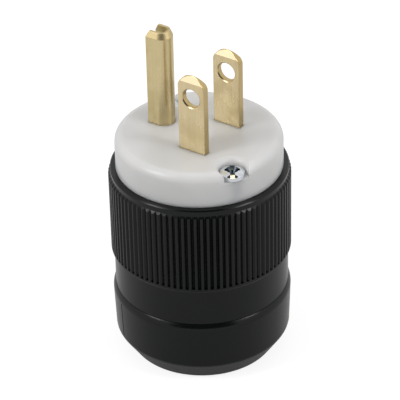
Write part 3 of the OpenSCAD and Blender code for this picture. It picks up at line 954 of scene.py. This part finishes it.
@dataclass
class FaceScrews:
    """The two long pan head screws, each with a slot that flares at the rim and a cross recess."""

    body: Body
    shank_r: float = 1.42
    head_r: float = 2.55
    head_h: float = 1.05
    dome_h: float = 0.65
    tip_z: float = 5.5
    recess_w: float = 0.95
    recess_span: float = 3.7
    slot_depth: float = 0.8
    recess_depth: float = 1.3
    recess_turn: float = -25.0
    wing_taper: Pair = (0.8, 0.7)
    middle_share: float = 0.45
    flare: Triple = (1.7, 2.15, 1.15)
    flare_lift: float = 0.1
    shaded_x: float = 1.2
    above: float = 0.3
    past_rim: float = 0.5
    point: Pair = (0.4, 0.6)
    head_bevel: float = 0.1
    edge_round: float = 0.05

    def build(self) -> None:
        """Models one screw and puts a copy in each pocket."""
        screw = self._turned()
        Bench.soften(screw, self.edge_round, BLUNT)
        # The recess's wings, deep middle and flares and the slot's first run get the dark zinc: painted shade
        for finish in (ZINC_PLATE, PAINTED_RECESS_SHADE):
            screw.data.materials.append(finish.material())
        *deep, slot = self._recess()
        for cutter in deep:
            Bench.carve(screw, cutter, finish=1)
        Bench.carve(screw, slot)
        Bench.clean(screw)
        pair = [screw, Bench.copy(screw)]
        for piece, place in zip(pair, self.body.at_screws()):
            Bench.place(piece, place @ turned(self.recess_turn))
        Bench.deliver(Bench.join(pair), "face_screw_pair", ZINC_PLATE, "zinc_steel", "face_screws")

    def _turned(self) -> Piece:
        """Turns the shank, the head and its dome.

        Returns:
            The new piece, open in edit mode.
        """
        seat_z = self.body.pocket_z
        edge_z = seat_z + self.head_h
        dome_r = (self.head_r ** 2 + self.dome_h ** 2) / (2 * self.dome_h)
        lean = math.degrees(math.asin(self.head_r / dome_r))
        dome = arc((0.0, edge_z + self.dome_h - dome_r), dome_r, 90.0 - lean, 90.0, steps=12)
        (thin, long), bevel = self.point, self.head_bevel
        profile = [(0.0, self.tip_z), (self.shank_r - thin, self.tip_z), (self.shank_r, self.tip_z + long),
                   (self.shank_r, seat_z), (self.head_r - bevel, seat_z), (self.head_r, seat_z + bevel),
                   *dome]
        return Bench.lathe(profile, steps=64)

    def _recess(self) -> list[Piece]:
        """Makes the cutters of the wings, the deep middle, the flares at the rim and the slot.

        Returns:
            The cutters, with the run of the slot that keeps the plain zinc as the last; the others get
            painted shade.
        """
        top_z = self.body.pocket_z + self.head_h + self.dome_h
        floor_z, low_z, over_z = top_z - self.slot_depth, top_z - self.recess_depth, top_z + self.above
        half, reach, end = self.recess_w / 2, self.recess_span / 2, self.head_r + self.past_rim
        wings = Bench.box((-half, -reach, floor_z), (half, reach, over_z))
        Bench.pick(lambda p: p.z < floor_z + SLACK)
        bpy.ops.transform.resize(value=(*self.wing_taper, 1.0), center_override=(0.0, 0.0, floor_z))
        middle = Bench.lathe([(0.0, low_z), (half, low_z), (self.middle_share * self.recess_span, over_z),
                              (0.0, over_z)], steps=24)
        cutters = [wings, middle]
        near, wide, spread = self.flare
        lift_z, rise = floor_z + self.flare_lift, (0.0, 0.0, over_z - floor_z)
        for side in (1.0, -1.0):
            plan = [(near, 0.0), (near, half), (wide, spread), (end, half),
                    (end, -half), (wide, -spread), (near, -half), (near, 0.0)]
            cutters.append(Bench.prism(((side * x, y, lift_z) for x, y in plan), rise))
        # The slot is cut in two runs parted at shaded_x: the first gets painted shade, the second keeps the
        # plain zinc
        for low_x, high_x in ((-end, self.shaded_x), (self.shaded_x, end)):
            cutters.append(Bench.box((low_x, -half, floor_z), (high_x, half, over_z)))
        Bench.clear()
        return cutters


@dataclass
class FrontBody:
    """The white front: rounded head, spigot, terminal core, slots and the screws' pockets."""

    body: Body
    pin: GroundPin
    blades: Blades
    rim_round: float = 1.8
    spigot_r: float = 16.45
    spigot_z: float = 40.6
    slot_fit: float = 0.1
    pocket_r: float = 2.85
    mouth_deep: float = 0.95
    mouth: tuple[Pair, ...] = ((0.3, 0.1), (0.3, 0.25), (0.25, 0.4), (0.5, 1.4))
    ring_round: float = 0.12
    inner_round: float = 0.2
    chamber_w: float = 9.0
    chamber_deep: float = 3.2
    chamber_lap: float = 0.2
    slot_lap: float = 0.5
    tip_room: float = 2.7
    tip_room_r: float = 1.95

    def build(self) -> None:
        """Turns the front and cuts its slots, chambers and pockets."""
        front = self._turned()
        for cutter in (*self._slots(), *self._chambers(), *self._screw_cuts(), *self._pockets()):
            Bench.carve(front, cutter)
        Bench.clean(front)
        Bench.deliver(front, "white_front", WHITE_NYLON, "white_nylon", "front_body")

    def _turned(self) -> Piece:
        """Turns the head, the spigot and the core.

        Returns:
            The new piece, open in edit mode.
        """
        body = self.body
        corners = [(0.0, body.face_z, 0.0), (body.face_r, body.face_z, self.rim_round),
                   (body.face_r, body.ring_z, self.ring_round), (self.spigot_r, body.ring_z, 0.0),
                   (self.spigot_r, self.spigot_z, self.inner_round), (body.core_r, self.spigot_z, 0.0),
                   (body.core_r, body.core_z, self.inner_round), (0.0, body.core_z, 0.0)]
        return Bench.lathe(rounded(corners, steps=10), body.steps)

    def _slots(self) -> list[Piece]:
        """Makes the cutters of the two blade slots and the pin's slot.

        Returns:
            The cutters.
        """
        body, fit = self.body, self.slot_fit
        half_x, half_y = self.blades.thick / 2 + fit, self.blades.width / 2 + fit
        low_z, high_z = body.ceiling_z - self.slot_lap, body.face_z + OVER
        cutters = []
        for side in Side:
            x, y = side.value * body.blade_x, body.blade_y
            cutters.append(Bench.box((x - half_x, y - half_y, low_z), (x + half_x, y + half_y, high_z)))
        outline = ((x, y, low_z) for x, y in self.pin.section(fit, steps=20))
        cutters.append(Bench.prism(outline, (0.0, 0.0, high_z - low_z)))
        Bench.clear()
        return cutters

    def _chambers(self) -> list[Piece]:
        """Makes the cutters of the three terminal chambers, with room for the screws' tips.

        Returns:
            The cutters.
        """
        body, half = self.body, self.chamber_w / 2
        cutters = []
        for place, metal in body.at_terminals(self.blades.thick, self.pin.thick):
            inner = -metal - self.slot_fit
            lap_z = self.spigot_z - self.chamber_lap
            below = Bench.box((inner, -half, body.core_z - OVER), (body.core_r, half, self.spigot_z))
            above = Bench.box((inner, -half, lap_z), (self.chamber_deep, half, body.ceiling_z))
            room = Bench.rod(self.tip_room_r, inner - self.tip_room, 0.0)
            Bench.place(room, Matrix.Translation((0.0, 0.0, body.terminal_z)) @ turned(90.0, "Y"))
            for cutter in (below, above, room):
                Bench.place(cutter, place)
                if place.determinant() < 0:
                    cutter.data.flip_normals()
                cutters.append(cutter)
        return cutters

    def _screw_cuts(self) -> list[Piece]:
        """Makes the cutters of the shank holes and the channels that open from them.

        Returns:
            The cutters.
        """
        body = self.body
        low_z, half = self.spigot_z - OVER, body.shank_hole_r
        cutters = body.shank_cuts(low_z, body.face_z + OVER)
        for place in body.at_screws():
            channel = Bench.box((0.0, -half, low_z), (body.bore_r - body.screw_r, half, body.ring_z + OVER))
            cutters.append(Bench.place(channel, place))
        return cutters

    def _pockets(self) -> list[Piece]:
        """Makes the cutters of the screws' pockets, open at the side, with mouths that widen in steps.

        Returns:
            The cutters.
        """
        body, p = self.body, self.pocket_r
        reach = body.face_r - body.screw_r + OVER
        ring = [(0.0, -p), (reach, -p), (reach, p), *arc((0.0, 0.0), p, 90.0, 270.0, steps=32)]
        cutters = []
        for place in body.at_screws():
            width, level = p, body.face_z - self.mouth_deep
            floor = ((x, y, body.pocket_z) for x, y in ring)
            pocket = Bench.prism(floor, (0.0, 0.0, level - body.pocket_z))
            for rise, spread in self.mouth:
                Bench.pick(lambda spot: spot.z > level - SLACK)
                Bench.extrude((0.0, 0.0, rise))
                wide = 1.0 + spread / width
                bpy.ops.transform.resize(value=(wide, wide, 1.0), center_override=(0.0, 0.0, level))
                width, level = width + spread, level + rise
            Bench.heal()
            cutters.append(Bench.place(pocket, place))
        return cutters


@dataclass
class GripHousing:
    """The black sleeve: ribbed grip, lip, cove, waist and the hollow inside."""

    body: Body
    groove_count: int = 92
    groove_depth: float = 0.5
    rib_tip_w: float = 0.42
    flank: float = 0.8036
    rib_sink: float = 0.04
    rib_round: float = 0.1
    rib_bevel: float = 0.4
    rib_lap: float = 0.15
    runout: float = 1.5
    band_h: float = 1.35
    ring_bevel: float = 0.28
    lip_h: float = 0.4
    cove_r: float = 1.0
    chamber_r: float = 16.5
    flange_z: float = 25.7
    flange_t: float = 2.4
    press_fit: float = 0.3
    press_wall: float = 1.6
    press_z: float = 17.17
    bore_round: float = 0.1
    fine_round: float = 0.06
    lip_round: float = 0.08
    skirt_round: float = 0.2
    press_round: float = 0.3

    def build(self) -> None:
        """Turns the sleeve and sets its ribs round it."""
        body = self.body
        sleeve = Bench.lathe(self._profile(), body.steps)
        for cutter in body.shank_cuts(body.ledge_z - OVER, body.ring_z + OVER):
            Bench.carve(sleeve, cutter)
        grip = Bench.join([sleeve, self._ribs()])
        Bench.deliver(grip, "grip_sleeve", BLACK_NYLON, "black_nylon", "grip_housing")

    def _profile(self) -> list[Pair]:
        """Gives the sleeve's section, groove floors outside and hollow inside.

        Returns:
            The section's points, with the first repeated at the end.
        """
        body = self.body
        root_r, band_r = body.grip_r - self.groove_depth, body.grip_r - self.rib_bevel
        runout_z = body.ring_z - self.band_h - self.rib_bevel / 2
        groove_z, flange_top = body.lip_z + self.lip_h, self.flange_z + self.flange_t
        press_r = body.cone_r - self.press_fit
        press_bore_r = press_r - self.press_wall
        lean = math.acos((self.cove_r - body.grip_r + body.waist_r) / self.cove_r)
        cove_z = body.lip_z - self.cove_r * math.sin(lean)
        start = 180.0 - math.degrees(lean)
        cove = arc((body.waist_r + self.cove_r, cove_z), self.cove_r, start, 180.0, steps=8)
        fine, inner, skirt = self.fine_round, self.press_round, self.skirt_round
        upper = rounded([(body.bore_r, body.ring_z, self.bore_round),
                         (band_r - self.ring_bevel, body.ring_z, fine),
                         (band_r, body.ring_z - self.ring_bevel, fine), (band_r, runout_z, 0.0),
                         (root_r, runout_z - self.rib_bevel * self.runout, 0.0), (root_r, groove_z, 0.0),
                         (body.grip_r, groove_z, self.lip_round), (body.grip_r, body.lip_z, 0.0)])[:-1]
        lower = rounded([(body.waist_r, cove_z, 0.0), (body.waist_r, body.waist_z, fine),
                         (body.joint_r, body.waist_z, 0.0), (body.joint_r, body.ledge_z, skirt),
                         (self.chamber_r, body.ledge_z, skirt), (self.chamber_r, self.flange_z, 0.0),
                         (press_r, self.flange_z, 0.0), (press_r, self.press_z, self.bore_round),
                         (press_bore_r, self.press_z, inner), (press_bore_r, flange_top, inner),
                         (body.bore_r, flange_top, 0.0)])[:-1]
        return [*upper, *cove[1:-1], *lower, upper[0]]

    def _ribs(self) -> Piece:
        """Shapes one rib, tapered, bevelled and sloped at its top end, and copies it round the grip.

        Returns:
            The ribs.
        """
        body = self.body
        tip_r, foot_r = body.grip_r, body.grip_r - self.groove_depth - self.rib_sink
        foot_w = self.rib_tip_w / 2 + (tip_r - foot_r) * self.flank
        low_z, rib_top_z = body.lip_z + self.rib_lap, body.ring_z - self.band_h - self.rib_bevel
        rib = Bench.box((foot_r, -foot_w, low_z), (tip_r, foot_w, rib_top_z + OVER))
        Bench.pick(lambda p: p.x > tip_r - SLACK)
        narrow = self.rib_tip_w / 2 / foot_w
        bpy.ops.transform.resize(value=(1.0, narrow, 1.0), center_override=(tip_r, 0.0, 0.0))
        bpy.ops.mesh.select_all(action="DESELECT")
        self._pick_long_edges(tip_r)
        bpy.ops.mesh.bevel(offset=self.rib_round, segments=3, affect="EDGES")
        Bench.trim((tip_r, 0.0, rib_top_z), (1.0, 0.0, 1.0))
        Bench.heal()
        copies = self.groove_count - 1
        sweep = math.tau - math.tau / self.groove_count
        bpy.ops.mesh.spin(dupli=True, steps=copies, angle=sweep, center=(0, 0, 0), axis=(0, 0, 1))
        Bench.clear()
        return rib

    @staticmethod
    def _pick_long_edges(radius: float) -> None:
        """Selects the open rib's two long edges at its tip.

        Args:
            radius: Radius of the rib's tip.
        """
        shape = bmesh.from_edit_mesh(bpy.context.object.data)
        for edge in shape.edges:
            a, b = (v.co for v in edge.verts)
            edge.select = min(a.x, b.x) > radius - SLACK and abs(a.z - b.z) > SLACK
        bmesh.update_edit_mesh(bpy.context.object.data)
        bpy.ops.mesh.select_mode(type="EDGE")


@dataclass
class RearCap:
    """The black cap: bevelled foot, rounded rim, cone for the cord jaws and the inserts' bosses."""

    body: Body
    rim_r: float = 19.0
    shoulder_h: float = 1.55
    foot_r: float = 18.68
    foot_h: float = 4.95
    foot_round: float = 1.4
    # Height above the foot's bevel reached by its scuffs and its painted reflection of the floor
    scuff_and_reflection_h: float = 0.25
    base_r: float = 15.4
    base_flat: float = 0.7
    base_h: float = 0.35
    base_round: float = 0.3
    socket_round: float = 0.15
    inner_round: float = 0.1
    cord_r: float = 7.75
    floor_t: float = 3.0
    socket_r: float = 17.76
    wall_r: float = 16.41
    cone_low_r: float = 9.4
    cone_top_z: float = 17.15
    tube_top_z: float = 17.65
    boss_r: float = 3.4
    boss_z: float = 11.0
    boss_lap: float = 0.2
    insert_r: float = 2.22
    line_w: float = 0.3
    line_deep: float = 0.14
    lines: tuple[Triple, ...] = ((149.5, 5.6, 14.0), (293.2, 5.3, 7.0))

    def build(self) -> None:
        """Turns the cap, carves its parting lines and adds its bosses."""
        body = self.body
        edge_r = self.base_r + self.base_h * (self.foot_r - self.base_r) / self.foot_h
        base, socket, inner = self.base_round, self.socket_round, self.inner_round
        corners = [(self.cord_r, 0.0, base), (self.base_r - self.base_flat, 0.0, base),
                   (edge_r, self.base_h, base), (self.foot_r, self.foot_h, self.foot_round),
                   *self._shoulder(), (self.socket_r, body.cap_h, socket), (self.socket_r, body.ledge_z, 0.0),
                   (self.wall_r, body.ledge_z, inner), (self.wall_r, self.foot_h, 0.0),
                   (body.core_r, self.foot_h, 0.0), (body.core_r, self.tube_top_z, inner),
                   (body.cone_r, self.tube_top_z, inner), (body.cone_r, self.cone_top_z, 0.0),
                   (self.cone_low_r, self.floor_t, 0.0), (self.cord_r, self.floor_t, socket)]
        pieces = [Bench.lathe(rounded(corners, steps=5), body.steps)]
        for cutter in self._parting_lines():
            Bench.carve(pieces[0], cutter)
        low_z = self.foot_h - self.boss_lap
        ring = [(self.insert_r, low_z), (self.boss_r, low_z), (self.boss_r, self.boss_z),
                (self.insert_r, self.boss_z), (self.insert_r, low_z)]
        for place in body.at_screws():
            pieces.append(Bench.place(Bench.lathe(ring, body.hole_steps), place))
        Bench.clear()
        # The foot gets scuffs and a painted reflection of the floor, up to a little above its bevel
        nylon = replace(CAP_NYLON, scuff_and_reflection_z=self.foot_h + self.scuff_and_reflection_h)
        Bench.deliver(Bench.join(pieces), "rear_cap_shell", nylon, "black_nylon", "rear_cap")

    def _parting_lines(self) -> list[Piece]:
        """Makes the cutters of the fine lines that the mould's halves leave in the wall.

        Returns:
            The cutters.
        """
        body, cutters = self.body, []
        lean = (self.rim_r - self.foot_r) / (body.cap_h - self.shoulder_h - self.foot_h)
        for degrees, low, high in self.lines:
            inner = [self.foot_r + (z - self.foot_h) * lean - self.line_deep for z in (low, high)]
            outer = self.rim_r + OVER
            plan = [(inner[0], low), (outer, low), (outer, high), (inner[1], high), (inner[0], low)]
            strip = Bench.prism(((r, -self.line_w / 2, z) for r, z in plan), (0.0, self.line_w, 0.0))
            cutters.append(Bench.place(strip, turned(degrees)))
        return cutters

    def _shoulder(self) -> list[Corner]:
        """Gives the round edge from the cap's wall in to the waist.

        Returns:
            Corners without rounding.
        """
        body = self.body
        step, rim_z = self.rim_r - body.waist_r, body.cap_h - self.shoulder_h
        radius = (step ** 2 + self.shoulder_h ** 2) / (2 * step)
        lean = math.degrees(math.asin(self.shoulder_h / radius))
        return [(x, z, 0.0) for x, z in arc((self.rim_r - radius, rim_z), radius, 0.0, lean, steps=14)]


@dataclass
class InnerPieces:
    """The CAD nodes that keep their own mesh, with their finishes."""

    finishes: dict[str, Finish] = field(default_factory=lambda: {
        "blade_retainer": GREY_NYLON, "left_cord_jaw": GREY_NYLON, "right_cord_jaw": GREY_NYLON,
        "line_terminal_screw": SCREW_BRASS, "line_wire_clamp": SCREW_BRASS, "cap_inserts": SCREW_BRASS,
        "neutral_terminal_screw": NICKEL_PLATE, "neutral_wire_clamp": NICKEL_PLATE,
        "ground_terminal_screw": GREEN_DYE, "ground_wire_clamp": GREEN_DYE})

    def dress(self) -> None:
        """Gives each inner node its finish."""
        for name, finish in self.finishes.items():
            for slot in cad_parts[name].material_slots:
                slot.material = finish.material()
            LOG.info("%s: %s", name, finish.name)


@dataclass
class SoftBox:
    """A soft lamp that looks at the plug."""

    name: str
    place: Spot
    size: Pair
    watts: float

    def light(self, aim: Vector) -> None:
        """Hangs the lamp and turns it to a point.

        Args:
            aim: The point.
        """
        lamp = bpy.data.lights.new(self.name, "AREA")
        lamp.shape = "RECTANGLE"
        lamp.size, lamp.size_y = self.size
        lamp.energy = self.watts
        stand = bpy.data.objects.new(self.name, lamp)
        bpy.context.scene.collection.objects.link(stand)
        stand.location = self.place
        stand.rotation_euler = (aim - Vector(self.place)).to_track_quat("-Z", "Y").to_euler()


@dataclass
class Studio:
    """White floor, white surroundings, soft lamps and the camera."""

    azimuth: float = -55.038
    elevation: float = 32.962
    roll: float = -1.352
    eye: Spot = (-0.33108, -0.23140, 0.29663)
    lens: float = 206.19
    sensor: float = 36.0
    clip: Pair = (0.01, 20.0)
    aim: Spot = (0.0, 0.0, 0.03)
    floor_size: float = 6.0
    room_level: float = 0.52
    floor_level: float = 0.4
    floor_glow: float = 0.78
    # Floor's glow in reflections near the plug and far from it, and the radii between: painted shade near the
    # plug
    shaded_reflection: Pair = (0.42, 0.7)
    shaded_reflection_r: Pair = (0.02, 0.09)
    screen_away: float = 0.6
    screen_size: Pair = (0.95, 2.4)
    screen_level: float = 0.1
    lamps: tuple[SoftBox, ...] = (
        SoftBox("left_box", (-0.5185, 0.2993, 0.465), (0.2, 0.31), 1.75),
        SoftBox("right_box", (0.073, -0.5942, 0.465), (0.2, 0.31), 1.5),
    )

    def build(self) -> None:
        """Sets up the floor, the surroundings, the lamps and the camera."""
        bpy.context.scene.view_settings.view_transform = "Standard"
        self._floor()
        self._screen()
        self._room()
        for lamp in self.lamps:
            lamp.light(Vector(self.aim))
        self._camera()
        LOG.info("studio: %d lamps", len(self.lamps))

    @staticmethod
    def _seen(sheet: Sheet) -> Wire:
        """Tells what the camera sees straight, in a reflection or through glass.

        Args:
            sheet: The sheet that asks.

        Returns:
            A mask that is 1 for such rays.
        """
        kinds = ("Camera", "Glossy", "Transmission")
        rays = [sheet.node("ShaderNodeLightPath", {}, f"Is {kind} Ray") for kind in kinds]
        return rays[0] | rays[1] | rays[2]

    def _floor(self) -> None:
        """Lays a white floor that glows a little for the camera and still takes the shadow."""
        Bench.clear()
        bpy.ops.mesh.primitive_plane_add(size=self.floor_size, location=(0, 0, 0))
        floor = bpy.context.object
        floor.name = "floor"
        paint, sheet = Sheet.paint("floor_paint")
        matt = sheet.node("ShaderNodeBsdfDiffuse", {"Color": (*[self.floor_level] * 3, 1.0)})
        straight = sheet.node("ShaderNodeLightPath", {}, "Is Camera Ray")
        away = sheet.node("ShaderNodeVectorMath", {0: sheet.object_place()}, "Value", operation="LENGTH")
        # Seen in reflections the floor glows less, and least near the plug: painted shade of the plug on the
        # floor
        near, far = self.shaded_reflection
        shaded_reflection = sheet.band(away, *self.shaded_reflection_r) * (far - near) + near
        strength = (self._seen(sheet) * shaded_reflection | straight) * self.floor_glow
        glow = sheet.node("ShaderNodeEmission", {"Color": WHITE, "Strength": strength})
        both = sheet.node("ShaderNodeAddShader", {0: matt, 1: glow})
        sheet.node("ShaderNodeOutputMaterial", {"Surface": both})
        floor.data.materials.append(paint)

    def _screen(self) -> None:
        """Stands the dark side of the studio behind the camera, where only reflections show it."""
        Bench.clear()
        bpy.ops.mesh.primitive_plane_add(size=1.0, location=(0, 0, 0), rotation=(math.pi / 2, 0.0, 0.0))
        screen = bpy.context.object
        screen.name = "dark_side"
        screen.scale = (*self.screen_size, 1.0)
        screen.rotation_euler.z = math.radians(self.azimuth)
        away = turned(self.azimuth) @ Vector((0.0, -self.screen_away, 0.0))
        screen.location = away + Vector((0.0, 0.0, self.screen_size[1] / 2))
        screen.visible_camera = screen.visible_diffuse = False
        screen.visible_shadow = screen.visible_transmission = False
        paint, sheet = Sheet.paint("dark_paint")
        matt = sheet.node("ShaderNodeBsdfDiffuse", {"Color": (*[self.screen_level] * 3, 1.0)})
        sheet.node("ShaderNodeOutputMaterial", {"Surface": matt})
        screen.data.materials.append(paint)

    def _room(self) -> None:
        """Makes the surroundings white to the eye and a plain level of light to the plug."""
        world = bpy.data.worlds.new("room")
        bpy.context.scene.world = world
        world.use_nodes = True
        sheet = Sheet(world.node_tree)
        seen = self._seen(sheet)
        strength = seen * (1.0 - self.room_level) + self.room_level
        back = sheet.node("ShaderNodeBackground", {"Color": WHITE, "Strength": strength})
        sheet.node("ShaderNodeOutputWorld", {"Surface": back})

    def _camera(self) -> None:
        """Sets the camera at the photograph's angle."""
        az, el, roll = (math.radians(v) for v in (self.azimuth, self.elevation, self.roll))
        back = Vector((math.sin(az) * math.cos(el), -math.cos(az) * math.cos(el), math.sin(el)))
        level = Vector((math.cos(az), math.sin(az), 0.0))
        rise = back.cross(level)
        right = level * math.cos(roll) + rise * math.sin(roll)
        up = rise * math.cos(roll) - level * math.sin(roll)
        view = Matrix((right, up, back)).transposed().to_4x4()
        view.translation = Vector(self.eye)
        lens = bpy.data.cameras.new("camera")
        lens.lens = self.lens
        lens.sensor_width = self.sensor
        lens.clip_start, lens.clip_end = self.clip
        camera = bpy.data.objects.new("camera", lens)
        bpy.context.scene.collection.objects.link(camera)
        camera.matrix_world = view
        bpy.context.scene.camera = camera


def main() -> None:
    """Builds the plug's pieces in order, dresses the inner pieces, then builds the studio."""
    logging.basicConfig(level=logging.INFO, format="%(name)s: %(message)s")
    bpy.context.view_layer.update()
    body = Body()
    blades, pin = Blades(body), GroundPin(body)
    front = FrontBody(body, pin, blades)
    for part in (blades, pin, FaceScrews(body), front, GripHousing(body), RearCap(body)):
        part.build()
    InnerPieces().dress()
    Studio().build()


if __name__ == "__main__":
    main()
